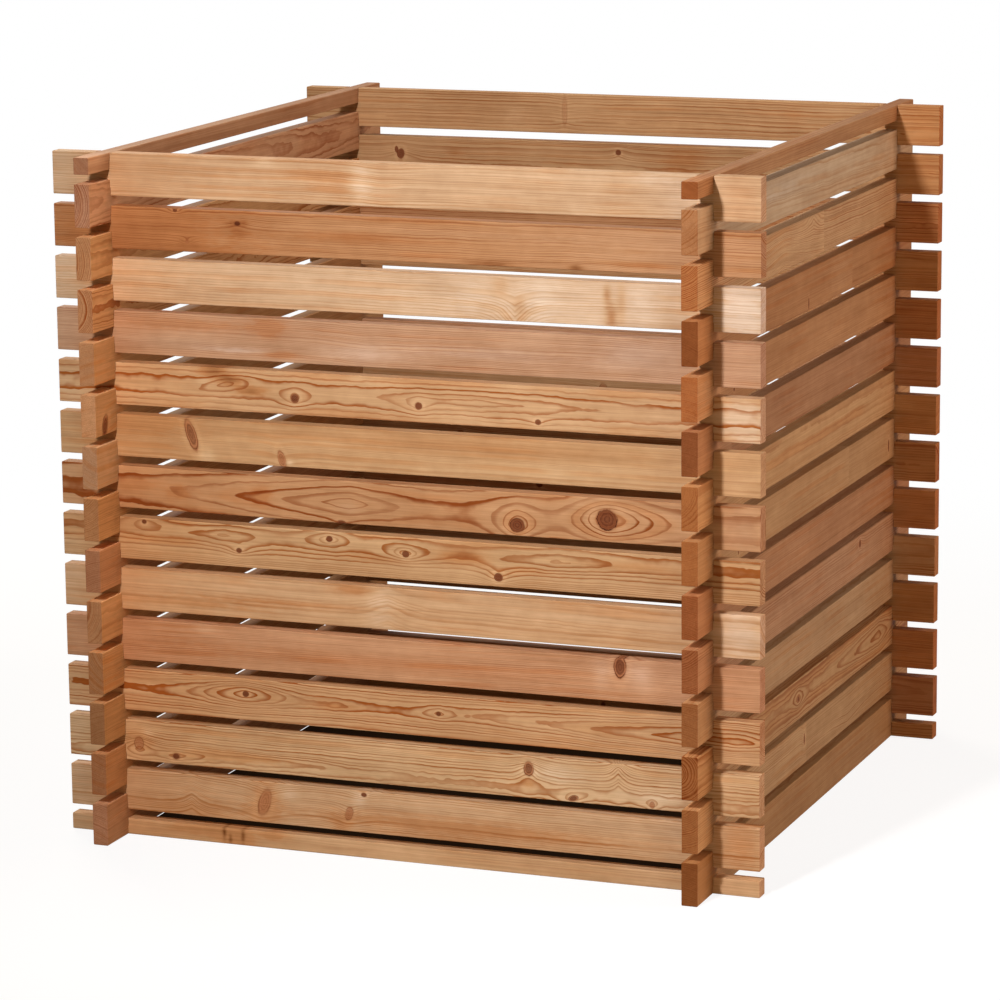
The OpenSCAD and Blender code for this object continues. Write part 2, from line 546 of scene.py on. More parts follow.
# Tints by which the sawn ends of each wall differ from its planed faces: front, right, back and left.
END_TINTS = ((1.27, 1.29, 1.50), (0.82, 0.63, 0.50), (1.05, 0.90, 0.85), (0.70, 0.66, 0.70))
END_CONTRAST = 0.4
PLANED_ROUGHNESS = 0.7
LATE_ROUGHER = -0.08
SAWN_ROUGHER = 0.2
# Clouds of noise to the metre: along the lath, through it and up it.
WAVER_CLOUDS = (15, 32, 32)
RIPPLE_CLOUDS = (70, 110, 110)
STRENGTH_CLOUDS = (6, 26, 26)
RED_CLOUDS = (7, 7, 7)
FIBRE_CLOUDS = (8, 520, 520)
STREAK_CLOUDS = (3, 170, 170)
DRIFT_CLOUDS = (5.5, 22, 26)
BLOTCH_CLOUDS = (42, 60, 60)
PORE_CLOUDS = (300, 900, 900)
# Waves to the metre, and metres by which the rings leave a true circle.
LONG_WAVES = 3.6
YEAR_WAVES = 70
WAVER = 0.0034
RIPPLE = 0.0012
# How far each kind of cloud makes the wood lighter and darker.
FIBRE_TONE = 0.5
STREAK_TONE = 0.3
DRIFT_TONE = 0.4
BLOTCH_TONE = 0.24
HALO_TONE = 0.1
PORE_TONE = 0.4
# Light wood is also paler: the tone works more on green, and most on blue.
GREEN_POWER = 1.3
BLUE_POWER = 1.6
# What changes past a glued joint: the seed, the place of the pith and the tone.
JOINT_SEED = 7.3
JOINT_JUMP = 0.021
JOINT_SHADE = -0.08
# Redder and paler wood, knots from soft edge to rim, and a depth for all.
RED_TINT = (0.95, 0.76, 0.60, 1)
PALE_TINT = (1.06, 1.24, 1.55, 1)
HEART_SOFT = (0.70, 0.27, 0.11, 1)
HEART_PALE = (0.33, 0.095, 0.032, 1)
HEART_DARK = (0.15, 0.036, 0.013, 1)
RIM_COLOUR = (0.055, 0.016, 0.007, 1)
WOOD_DEPTH = (0.8, 0.8, 0.8, 1)


def larch_group():
    """Growth rings round the middle of the trunk, cut through by the lath."""
    sockets = KNOT_CHAIN | STAIN_AND_PAINTED_LIGHT_CHAIN | {
        "Position": (0, 0, 0),
        "Normal": (0, 0, 1),
        "Pith": (0, 0.05, 0.03),
        "Lean": (0, 0.01, 0),
        "Ring Width": 0.0025,
        "Wander": 0.005,
        "Contrast": 0.8,
        "Late Start": 0.38,
        "Variation": 3.5,
        "Early": (0.6, 0.4, 0.2, 1),
        "Late": (0.3, 0.15, 0.05, 1),
        "Seed": 0.0,
        "Joint": 10.0,
        "End Tint": (1, 1, 1, 1),
    }
    results = {"Colour": (0, 0, 0, 1), "Roughness": 0.0, "Relief": 0.0}
    tree, given = shader_group("larch", sockets, results)
    x = split(tree, given["Position"])[0]
    past_joint = calc(tree, "GREATER_THAN", x, given["Joint"])
    seed = line(tree, past_joint, JOINT_SEED, given["Seed"])

    # The trunk wanders along its length, and every ring wavers a little.
    long_wave = join(tree, times(tree, x, LONG_WAVES), seed)
    wander = vector_calc(tree, "SUBTRACT", noise(tree, long_wave, detail=1.0)[1], (0.5, 0.5, 0.5))
    wander = vector_calc(tree, "MULTIPLY", wander, evenly(tree, given["Wander"]))
    own_place = vector_calc(tree, "ADD", given["Position"], evenly(tree, seed))
    waver = noise(tree, own_place, WAVER_CLOUDS)[1]
    waver = vector_calc(tree, "SUBTRACT", waver, (0.5, 0.5, 0.5))
    waver = vector_calc(tree, "MULTIPLY", waver, (0, WAVER, WAVER))
    ripple = noise(tree, own_place, RIPPLE_CLOUDS, 1.0)[0]
    lean = vector_calc(tree, "MULTIPLY", given["Lean"], evenly(tree, x))
    jump = join(tree, z=times(tree, past_joint, JOINT_JUMP))
    centre = vector_calc(tree, "ADD", vector_calc(tree, "ADD", given["Pith"], lean), jump)
    from_pith = vector_calc(tree, "SUBTRACT", given["Position"], centre)
    from_pith = vector_calc(tree, "ADD", vector_calc(tree, "ADD", from_pith, wander), waver)
    from_pith = vector_calc(tree, "MULTIPLY", from_pith, (0, 1, 1))
    radius = plus(tree, vector_calc(tree, "LENGTH", from_pith), given["Lift"])
    radius = line(tree, ripple, RIPPLE, radius)

    # Years differ in width and in the darkness of their late wood, which
    # begins softly and ends sharply. Some years are redder than others.
    along_radius = line(tree, radius, YEAR_WAVES, seed)
    years = {"W": along_radius, "Scale": 1.0, "Detail": 1.0}
    years = add_node(tree, "ShaderNodeTexNoise", years, noise_dimensions="1D").outputs[0]
    count = calc(tree, "DIVIDE", radius, given["Ring Width"])
    count = line(tree, years, given["Variation"], count)
    year = {"W": plus(tree, calc(tree, "FLOOR", count), seed)}
    year_mark = add_node(tree, "ShaderNodeTexWhiteNoise", year, noise_dimensions="1D").outputs[0]
    part = calc(tree, "FRACT", count)
    late = times(tree, ramp(tree, part, given["Late Start"], 0.9), ramp(tree, part, 0.94, 1.0, 1.0, 0.0))
    late = times(tree, late, ramp(tree, year_mark, 0.0, 1.0, 0.45, 1.0))
    strength = noise(tree, own_place, STRENGTH_CLOUDS)[0]
    late = times(tree, late, ramp(tree, strength, 0.3, 0.65, 0.55, 1.15))
    end_grain = ramp(tree, calc(tree, "ABSOLUTE", split(tree, given["Normal"])[0]), 0.4, 0.8)
    contrast = line(tree, end_grain, END_CONTRAST, 1.0)
    late = times(tree, late, times(tree, given["Contrast"], contrast))
    bands = {"W": line(tree, along_radius, 1.9, 31.0), "Scale": 1.0, "Detail": 0.0}
    bands = add_node(tree, "ShaderNodeTexNoise", bands, noise_dimensions="1D").outputs[0]
    patches = noise(tree, own_place, RED_CLOUDS)[0]
    redness = times(tree, ramp(tree, bands, 0.45, 0.7), ramp(tree, patches, 0.4, 0.62))
    redness = line(tree, redness, 0.6, given["Redness"])

    # Fine fibres and the slow drift of colour along the lath.
    fibre = noise(tree, own_place, FIBRE_CLOUDS, 4.0, 0.62)[0]
    drift = noise(tree, own_place, DRIFT_CLOUDS)[0]
    blotch = noise(tree, own_place, BLOTCH_CLOUDS, 3.0)[0]
    wood = mix_colours(tree, late, given["Early"], given["Late"])
    paleness = times(tree, redness, -1.0)
    wood = mix_colours(tree, redness, wood, mix_colours(tree, 1.0, wood, RED_TINT, "MULTIPLY"))
    wood = mix_colours(tree, paleness, wood, mix_colours(tree, 1.0, wood, PALE_TINT, "MULTIPLY"))
    streak = noise(tree, own_place, STREAK_CLOUDS)[0]
    light = line(tree, fibre, FIBRE_TONE, 1 - FIBRE_TONE / 2)
    for cloud, tone in ((streak, STREAK_TONE), (drift, DRIFT_TONE), (blotch, BLOTCH_TONE)):
        light = line(tree, cloud, tone, minus(tree, light, tone / 2))
    light = plus(tree, light, given["Shade"])
    light = line(tree, given["Halo"], HALO_TONE, light)

    # Knots: red-brown hearts with fine rings of their own and a dark rim.
    small_part = calc(tree, "FRACT", times(tree, given["Rings"], 3.1))
    heart_shade = mix_colours(tree, ramp(tree, small_part, 0.1, 0.9, 0.4, 1.0), HEART_PALE, HEART_DARK)
    soft_shade = mix_colours(tree, ramp(tree, small_part, 0.35, 0.9, 0.3, 0.7), HEART_SOFT, HEART_PALE)
    heart_shade = mix_colours(tree, ramp(tree, given["Heart"], 0.78, 1.0), soft_shade, heart_shade)
    wood = mix_colours(tree, times(tree, given["Heart"], 0.94), wood, heart_shade)
    crumbled = ramp(tree, blotch, 0.35, 0.6, 0.2, 1.0)
    rim_shade = mix_colours(tree, ramp(tree, given["Rim"], 0.8, 1.0), HEART_PALE, RIM_COLOUR)
    wood = mix_colours(tree, times(tree, given["Rim"], crumbled), wood, rim_shade)

    # Past a glued joint the tone jumps. Sawn ends get darker pores and the tint of their wall.
    light = line(tree, past_joint, JOINT_SHADE, light)
    pores = noise(tree, own_place, PORE_CLOUDS)[0]
    end_light = line(tree, pores, PORE_TONE, 1 - PORE_TONE)
    light = times(tree, light, choose(tree, end_grain, 1.0, end_light))
    wood = mix_colours(tree, end_grain, wood, mix_colours(tree, 1.0, wood, given["End Tint"], "MULTIPLY"))
    lights = {"Red": light, "Green": calc(tree, "POWER", light, GREEN_POWER)}
    lights |= {"Blue": calc(tree, "POWER", light, BLUE_POWER)}
    lights = add_node(tree, "ShaderNodeCombineColor", lights).outputs[0]
    colour = mix_colours(tree, 1.0, wood, lights, "MULTIPLY")
    colour = mix_colours(tree, 1.0, colour, WOOD_DEPTH, "MULTIPLY")

    roughness = line(tree, late, LATE_ROUGHER, PLANED_ROUGHNESS)
    roughness = line(tree, end_grain, SAWN_ROUGHER, roughness)
    relief = line(tree, fibre, 0.5, times(tree, late, 0.6))
    add_node(tree, "NodeGroupOutput", {"Colour": colour, "Roughness": roughness, "Relief": relief})
    return tree


# Larch from one saw load: the boards differ from pale sapwood to red heart.
TONES = {
    "pale": ("#e6be95", "#c28449"),
    "honey": ("#dfad7a", "#ad622b"),
    "rosy": ("#d6a076", "#a55a30"),
    "golden": ("#e0af7e", "#ac5c24"),
    "russet": ("#d89f6e", "#9c4f1e"),
}
GREEN_OF_WARMTH = 0.45
MM = 1000
RELIEF_DEPTH = 0.00025
SPECULAR_LEVEL = 0.1
SLAT_TREE = notched_slat_tree()
KNOT = knot_group()
STAIN_AND_PAINTED_LIGHT = stain_and_painted_light_group()
LARCH = larch_group()


def wood_colour(code, light, warmth):
    """A screen colour code as linear values, made lighter or darker, and warmer or cooler."""
    parts = [int(code[place : place + 2], 16) / 255 for place in (1, 3, 5)]
    parts = [p / 12.92 if p <= 0.04045 else ((p + 0.055) / 1.055) ** 2.4 for p in parts]
    warm = (light, light * (1 - GREEN_OF_WARMTH * warmth), light * (1 - warmth))
    return [min(p * w, 0.95) for p, w in zip(parts, warm)] + [1.0]


def group_node(tree, group, sockets):
    """One use of a node group."""
    return add_node(tree, "ShaderNodeGroup", sockets, node_tree=group).outputs


def over_face(x, z, y=0):
    """A place or a size across the face of a slat, in millimetres, as a vector in metres."""
    return (x / MM, y, z / MM)


def larch_material(name, turns, base, board, stains_and_painted_light):
    """The wood of one slat, with its pattern laid out in the slat's own frame."""
    material = bpy.data.materials.new(name)
    tree = bare_tree(material)
    surface = add_node(tree, "ShaderNodeTexCoord").outputs
    back_turn = (0, 0, -turns * math.pi / 2)
    to_slat = {"Vector": surface["Object"], "Location": (0, WALL_MIDDLE, -base), "Rotation": back_turn}
    position = add_node(tree, "ShaderNodeMapping", to_slat, vector_type="POINT").outputs[0]
    to_slat = {"Vector": surface["Normal"], "Rotation": back_turn}
    normal = add_node(tree, "ShaderNodeMapping", to_slat, vector_type="VECTOR").outputs[0]
    chain = {}
    for sockets in board["marks"]:
        made = group_node(tree, KNOT, {"Position": position, **sockets, **chain})
        chain = {socket: made[socket] for socket in KNOT_CHAIN}
    shades = {}
    for x, z, wide, high, lighter, redder in (*stains_and_painted_light, *board["stains_and_painted_light"]):
        sockets = {"Position": position, "Centre": over_face(x, z), "Radii": over_face(wide, high, 1)}
        made = group_node(tree, STAIN_AND_PAINTED_LIGHT, {**sockets, "Lighter": lighter, "Redder": redder, **shades})
        shades = {socket: made[socket] for socket in STAIN_AND_PAINTED_LIGHT_CHAIN}
    early, late = (wood_colour(code, board["light"], board["warmth"]) for code in TONES[board["tone"]])
    ends = [part * board["ends"] for part in END_TINTS[turns]] + [1.0]
    sockets = {"Position": position, "Normal": normal, "Early": early, "Late": late, "End Tint": ends}
    wood = group_node(tree, LARCH, {**sockets, **board["cut"], **shades, **chain})
    grain = {"Height": wood["Relief"], "Distance": RELIEF_DEPTH, "Strength": 0.5}
    bump = add_node(tree, "ShaderNodeBump", grain).outputs[0]
    finish = {"Base Color": wood["Colour"], "Roughness": wood["Roughness"], "Normal": bump}
    finish |= {"Specular IOR Level": SPECULAR_LEVEL}
    planed = add_node(tree, "ShaderNodeBsdfPrincipled", finish)
    add_node(tree, "ShaderNodeOutputMaterial", {"Surface": planed.outputs[0]})
    return material


def slat_node(wall, row):
    """The node of a slat, counted up its wall. The narrow one is row 0."""
    return f"{wall}_slat_{row:02d}" if row else f"{wall}_half_slat"


def make_slat(wall, row, board, stains_and_painted_light=()):
    """Builds one slat where its node is, and lets it ride, stand and be finished as that node."""
    node = slat_node(wall, row)
    turns = WALLS.index(wall)
    lies_low = wall in ("front", "back")
    low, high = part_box(node)
    dice = random.Random(node)
    at_an_edge = low.z <= cad_low.z or high.z >= cad_high.z
    material = larch_material(f"larch of {node}", turns, low.z, board, stains_and_painted_light)
    maker = add_object("maker", bpy.data.meshes.new("maker"))
    modifier = maker.modifiers.new("slat", "NODES")
    modifier.node_group = SLAT_TREE
    values = {
        "Length": SLAT_LENGTH,
        "Width": high.z - low.z,
        "Thickness": SLAT_THICKNESS,
        "Edge Radius": EDGE_RADIUS,
        "End Break": END_BREAK,
        "Notch Middle": WALL_MIDDLE,
        "Notch Length": NOTCH_LENGTH,
        "Notch Below": NOTCH_DEPTH if row or not lies_low else 0.0,
        "Notch Above": NOTCH_DEPTH if row or lies_low else 0.0,
        "Start Trim": dice.uniform(0, MOST_TRIM),
        "End Trim": dice.uniform(0, MOST_TRIM),
        "Bow Out": dice.uniform(-MOST_BOW, MOST_BOW),
        "Bow Up": 0.0 if at_an_edge else dice.uniform(-MOST_BOW, MOST_BOW),
        "Wall Place": (0, -WALL_MIDDLE, low.z),
        "Wall Turn": turns * math.pi / 2,
        "Timber": material,
    }
    for socket in SLAT_TREE.interface.items_tree:
        if socket.name in values:
            modifier[socket.identifier] = values[socket.name]
    graph = bpy.context.evaluated_depsgraph_get()
    mesh = bpy.data.meshes.new_from_object(maker.evaluated_get(graph))
    bpy.data.objects.remove(maker)
    slat = add_object(f"{node}_lath", mesh)
    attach(slat, BODY_OF[node])
    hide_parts(node)


# In quarter turns from the front.
WALLS = ("front", "right", "back", "left")
BODY_OF = {node: body for body, nodes in frame["record"]["behaviour"]["bodies"].items() for node in nodes}
ROWS = sum(1 for node in frame["nodes"] if node.startswith("front_slat_"))


def knot(x, z, wide, high, swell=-7, dark=1.0, reach=(3.4, 2.6), tail=1.0, turn=0.0):
    """A knot in millimetres, and how far the rings rise or sink round it."""
    sockets = {"Centre": over_face(x, z), "Radii": over_face(wide, high, 1), "Swell": swell / MM}
    return sockets | {"Darkness": dark, "Reach": (reach[0], 1, reach[1]), "Tail": tail, "Turn": turn}


def swell(x, z, wide, high, rise, tail=1.0):
    """A place where the rings rise or sink, and how far round it they do."""
    sockets = {"Centre": over_face(x, z), "Reach": over_face(wide, high, 1), "Swell": rise / MM}
    return sockets | {"Tail": tail, "Roundness": SWELL_ROUNDNESS, "Darkness": 0.0}


def cut(depth, height, ring, contrast, seed, lean=0.0, rise=0.0, wander=5, late_start=0.38, variation=3.5):
    """How a lath lay in the trunk: where the pith runs behind it, and how wide and dark its rings are."""
    sockets = {"Pith": (0, depth / MM, height / MM), "Lean": (0, lean, rise), "Ring Width": ring / MM}
    sockets |= {"Contrast": contrast, "Seed": seed, "Wander": wander / MM}
    return sockets | {"Late Start": late_start, "Variation": variation}


def plank(tone, light, warmth, lay, marks=(), stains_and_painted_light=(), ends=1.0, tip_painted_light=None):
    """A board: its wood, its tone, how it lay in the trunk, its marks, its stains with the painted light of
    its right tip, and how light its sawn ends are.
    """
    stains_and_painted_light = [*stains_and_painted_light, (*RIGHT_TIP_PAINTED_LIGHT, *tip_painted_light)] if tip_painted_light else stains_and_painted_light
    board = {"tone": tone, "light": light, "warmth": warmth, "cut": lay}
    return board | {"marks": marks, "stains_and_painted_light": stains_and_painted_light, "ends": ends}


# Front wall: thirteen slats and the narrow slat at the ground, dropped over those
# of the side walls. Seen full on, so the knots and loops of each board lie where
# they do on the real one.
CRISP = {"late_start": 0.6, "variation": 1.0}
# Places, radii and reaches are in millimetres along and up the slat. A stain ends
# with its lightness and its redness, and so does the tip at the right end. The tip is
# painted light on that tail: lighter and paler where a sheen falls, darker where shade falls.
RIGHT_TIP_PAINTED_LIGHT = (475, 30, 30, 40)
# Painted light on every front slat: lighter and redder towards the left end, a little lighter and paler at
# the left tip, and paler towards the right end as a painted sheen.
LEFT_PAINTED_WARM_LIGHT = (-420, 30, 170, 1000, 0.09, 0.65)
LEFT_TIP_PAINTED_LIGHT = (-490, 30, 35, 1000, 0.05, -0.6)
RIGHT_PAINTED_SHEEN = (380, 30, 180, 1000, -0.02, -0.15)
FRONT_BOARDS = [
    plank(
        "golden", 1.11, -0.12, cut(30, -50, 4, 0.4, 3.0),
        stains_and_painted_light=[
            (-268, 16, 3, 10, -0.6, 1.2), (-259, 7, 3, 7, -0.45, 1.2), (-240, 14, 3, 10, -0.5, 1.2),
            (-250, 10, 22, 14, -0.08, 2.4), (-300, 16, 40, 6, -0.06, 1.4),
            (-195, 18, 20, 5, -0.08, 1.4),
        ],
    ),
    plank(
        "pale", 1.05, 0.05, cut(12, -12, 2.6, 0.75, 5.2, wander=6), tip_painted_light=(-0.06, 0.9),
        marks=[
            knot(-206, 29, 8.5, 20, 12, dark=0.55, turn=-0.3),
            knot(-81, 25, 5.5, 9.5, 8, dark=0.54, turn=-0.3), knot(-59, 53, 4, 3, 6),
            swell(-316, 31, 16, 30, -10),
        ],
        stains_and_painted_light=[
            (-206, 26, 22, 30, -0.02, 1.2), (-172, 44, 14, 10, 0.14, -0.4),
            (-92, 10, 12, 10, -0.08, 1.4), (-66, 46, 10, 12, 0.14, -0.5),
            (100, 18, 240, 12, -0.08, 1.2), (-300, 10, 90, 12, -0.03, 0.6),
        ],
    ),
    plank(
        "honey", 1.14, -0.33, cut(12, 12, 2.6, 1.0, 7.7),
        marks=[
            knot(-394, 25, 7, 9, -8, dark=0.5), knot(-338, 11, 6, 5, -6, dark=0.75, reach=(6, 2.4)),
            knot(179, 40, 7, 10, -9, dark=0.68, reach=(2.2, 1.7)),
            knot(242, 5, 7, 4, -6, dark=0.7, turn=0.3), knot(352, 6, 3.5, 4.5, -4, dark=0.6),
            swell(305, 52, 12, 26, -11), swell(-200, 16, 90, 12, -6, 1.6),
        ],
        stains_and_painted_light=[
            (-260, 18, 50, 6, 0.0, 0.8), (178, 20, 12, 7, -0.18, 1.2), (-240, 18, 80, 6, -0.08, 0.9),
            (-394, 30, 18, 10, -0.1, 1.2), (-380, 40, 10, 6, 0.16, -0.5), (220, 36, 40, 12, 0.1, -0.5),
            (360, 16, 50, 10, 0.08, -0.4),
        ],
    ),
    plank(
        "golden", 1.05, -0.04, cut(16, 34, 3, 1.0, 11.1, variation=1.8), tip_painted_light=(0.02, -0.1),
        marks=[
            knot(-231, 37, 4.5, 4, -15, reach=(12, 4.4)), knot(51, 33, 3.5, 3, -4, reach=(5, 3)),
            swell(-98, 31, 45, 12, -4), swell(470, 30, 110, 30, -18, 2.2),
        ],
        stains_and_painted_light=[(-98, 31, 32, 7, -0.04, 1.0), (-385, 31, 40, 8, 0.2, -0.3)],
    ),
    plank(
        "rosy", 1.09, -0.03, cut(20, -90, 2.1, 0.55, 13.4, rise=0.03),
        marks=[knot(308, 47, 8.5, 15, 6, dark=0.7)],
        stains_and_painted_light=[
            (337, 36, 18, 18, 0.16, -0.6), (282, 36, 12, 20, 0.1, -0.5), (-290, 53, 16, 10, 0.12, -0.4),
            (-50, 25, 300, 10, -0.03, 0.6),
        ],
    ),
    plank(
        "pale", 1.02, 0.13, cut(50, 85, 4.8, 0.5, 17.0, rise=-0.01, wander=12), tip_painted_light=(0.02, -1.0),
        marks=[swell(-20, 30, 35, 50, 12)],
        stains_and_painted_light=[
            (-30, 30, 20, 34, 0.12, -0.5), (-70, 52, 30, 7, -0.1, 1.2), (-160, 26, 140, 4, -0.1, 0.9),
            (-320, 16, 100, 4, -0.08, 0.9), (250, 12, 200, 10, -0.05, 0.2),
        ],
    ),
    plank(
        "honey", 1.0, -0.14, cut(18, 44, 3, 0.95, 19.6),
        marks=[
            knot(-377, 53, 3.5, 3, -6, reach=(8, 4)), knot(-236, 23, 4, 3.5, -7, reach=(5, 3)),
            knot(-103, 48, 4.5, 4, -8, reach=(6, 3)), knot(7, 35, 4.8, 4.5, -10, reach=(6, 2.8)),
            knot(139, 13, 6, 5.6, -10, reach=(4, 3)), swell(220, 38, 100, 16, -8, 0.7),
            swell(-260, 42, 50, 12, -6, 1.4),
        ],
        stains_and_painted_light=[(85, 37, 36, 8, -0.06, 1.2), (330, 40, 80, 6, 0.0, 0.8)],
    ),
    plank(
        "russet", 1.0, -0.12, cut(50, 27, 5.8, 1.25, 23.9, lean=-0.02, wander=2, **CRISP),
        tip_painted_light=(-0.11, -0.4),
        marks=[
            knot(166, 14, 10.5, 9.5, -23, reach=(2.7, 2.6)),
            knot(291, 30, 14.5, 14.5, -30, reach=(3.0, 2.1), tail=1.5, turn=math.pi),
            knot(292.5, 31, 0.7, 10, 0), knot(-85, 1, 6, 3, -4, dark=0.8),
            swell(-73, 27, 76, 22.4, -20, 1.9),
        ],
        stains_and_painted_light=[
            (-400, 34, 30, 6, -0.06, 1.6), (-325, 26, 14, 7, -0.04, 1.6), (-200, 31, 12, 9, -0.08, 1.6),
            (-73, 22, 18, 9, 0.06, -0.3),
        ],
    ),
    plank(
        "honey", 0.96, -0.1, cut(30, -60, 3.5, 0.32, 29.3),
        marks=[
            knot(-303, 36, 7, 22, 6, dark=0.66, turn=0.32),
            knot(-170, 10, 5.5, 12, 6, dark=0.62, turn=0.3),
        ],
        stains_and_painted_light=[
            (-280, 8, 14, 12, 0.18, -0.5), (-158, 6, 6, 6, 0.16, -0.5), (-370, 50, 50, 10, -0.02, 1.0),
            (200, 18, 220, 14, 0.06, -0.1), (100, 45, 300, 14, 0.0, 0.5),
        ],
    ),
    plank(
        "golden", 1.01, -0.1, cut(35, 31, 3.1, 1.15, 31.8, wander=2, late_start=0.5, variation=1.0),
        tip_painted_light=(0.09, -1.2),
        marks=[
            knot(-248, 37, 34, 9, -7, dark=0.0, reach=(1, 1), turn=0.22),
            knot(-150, 23, 6, 6, -7, dark=0.8, reach=(3.2, 2.2)),
            knot(28, 23, 5.2, 4.8, -7, dark=0.85, reach=(4, 2.8)),
            knot(196, 11, 4, 3.6, -3, dark=0.8, reach=(4, 2)), swell(115, 31, 120, 11.8, -6.8),
        ],
        stains_and_painted_light=[
            (-268, 54, 16, 8, -0.45, 2.6), (-243, 43, 16, 6, -0.36, 2.6), (-214, 30, 18, 5, -0.36, 2.6),
            (-283, 40, 12, 9, 0.1, -0.4),
        ],
    ),
    plank(
        "rosy", 0.98, -0.24, cut(20, -70, 2.4, 0.6, 37.5, wander=8),
        marks=[swell(-50, 30, 50, 40, 4)],
        stains_and_painted_light=[
            (-186, 46, 20, 12, -0.04, 1.8), (-166, 10, 20, 4, -0.06, 1.8),
            (-290, 44, 100, 7, -0.03, 0.8), (-230, 12, 50, 4, 0.1, -0.8), (-50, 18, 60, 12, 0.1, -0.5),
            # The pale patches at 120 and 330 mm are a painted sheen.
            (-320, 18, 100, 10, 0.04, -0.5), (120, 26, 90, 7, 0.06, -0.5),
            (330, 35, 50, 18, 0.03, -0.6),
        ],
    ),
    plank(
        "pale", 1.04, -0.08, cut(30, -50, 3, 0.5, 41.2), tip_painted_light=(0.09, -1.5),
        marks=[swell(165, -4, 26, 36, 22)],
        stains_and_painted_light=[
            (292, 40, 5, 12, -0.2, 1.0), (298, 12, 8, 16, -0.3, 1.2), (312, 28, 6, 30, -0.05, 0.6),
            (145, 46, 12, 12, -0.08, 0.6), (172, 18, 8, 14, -0.1, 0.6), (205, 30, 20, 30, 0.07, -0.3),
            (100, 25, 20, 20, 0.05, -0.3), (340, 30, 20, 30, 0.06, -0.3), (200, 30, 250, 50, 0.0, -0.3),
        ],
    ),
    plank(
        "russet", 0.87, 0.02, cut(30, 100, 2.4, 0.65, 43.9),
        marks=[
            knot(-228, 41, 4.2, 3.2, 5, reach=(4, 3)), knot(-319, 55, 3, 2),
            knot(-302, 14, 3, 2.5, dark=0.4),
        ],
        stains_and_painted_light=[
            # The first and the last stains are painted light: shade at the left end, a sheen at the right
            # end.
            (-400, 30, 160, 60, -0.06, 1.0), (-228, 41, 14, 4, -0.4, 1.0),
            (-226, 29, 12, 8, -0.12, 0.8), (-302, 16, 12, 7, -0.16, 0.6), (-310, 3, 90, 5, -0.16, 1.0),
            (-60, 30, 70, 8, -0.08, 0.8), (350, 10, 50, 4, -0.08, 0.6), (133, 3, 30, 4, -0.4, 0.5),
            (250, 3, 10, 4, -0.5, 0.5), (50, 40, 200, 6, 0.06, -0.3), (400, 30, 200, 60, 0.04, -0.4),
        ],
    ),
    plank(
        "pale", 0.97, 0.0, cut(20, -60, 2.8, 0.55, 47.0, wander=8), tip_painted_light=(-0.04, 0.35),
        marks=[swell(-20, 50, 50, 50, 6)],
        stains_and_painted_light=[
            # The first stain, paler near the right end, is a painted highlight.
            (400, 30, 30, 30, 0.02, -0.3), (-186, 55, 14, 7, 0.14, -0.2), (-49, 34, 16, 34, 0.16, -0.5),
            (-105, 38, 50, 8, -0.05, 0.9), (-100, 22, 30, 5, -0.05, 0.9), (354, 50, 24, 8, 0.1, -0.3),
            (-80, 30, 12, 16, -0.06, 0.3),
        ],
    ),
]

for row, board in enumerate(FRONT_BOARDS):
    make_slat("front", row, board, (LEFT_PAINTED_WARM_LIGHT, LEFT_TIP_PAINTED_LIGHT, RIGHT_PAINTED_SHEEN))


# Right wall: thirteen slats from the ground up and the narrow rim slat. Some
# are glued up from two lengths, so their tone and lines jump at the joint.
NO_JOINT = 10000
# Painted light on every right slat: its front end, which stands out past the front wall, is lighter and
# redder. DARK_END makes the back end darker and redder.
RIGHT_FRONT_END_PAINTED_LIGHT = (-485, 30, 50, 1000, 0.37, 1.1)
DARK_END = (460, 30, 120, 1000, -0.04, 0.6)


def crossing(depth, height, seed, ring=2.4, contrast=0.4, joint=NO_JOINT, **sockets):
    """How a lath of the other walls lay in the trunk, and where it is glued."""
    return cut(depth, height, ring, contrast, seed, **sockets) | {"Joint": joint / MM}


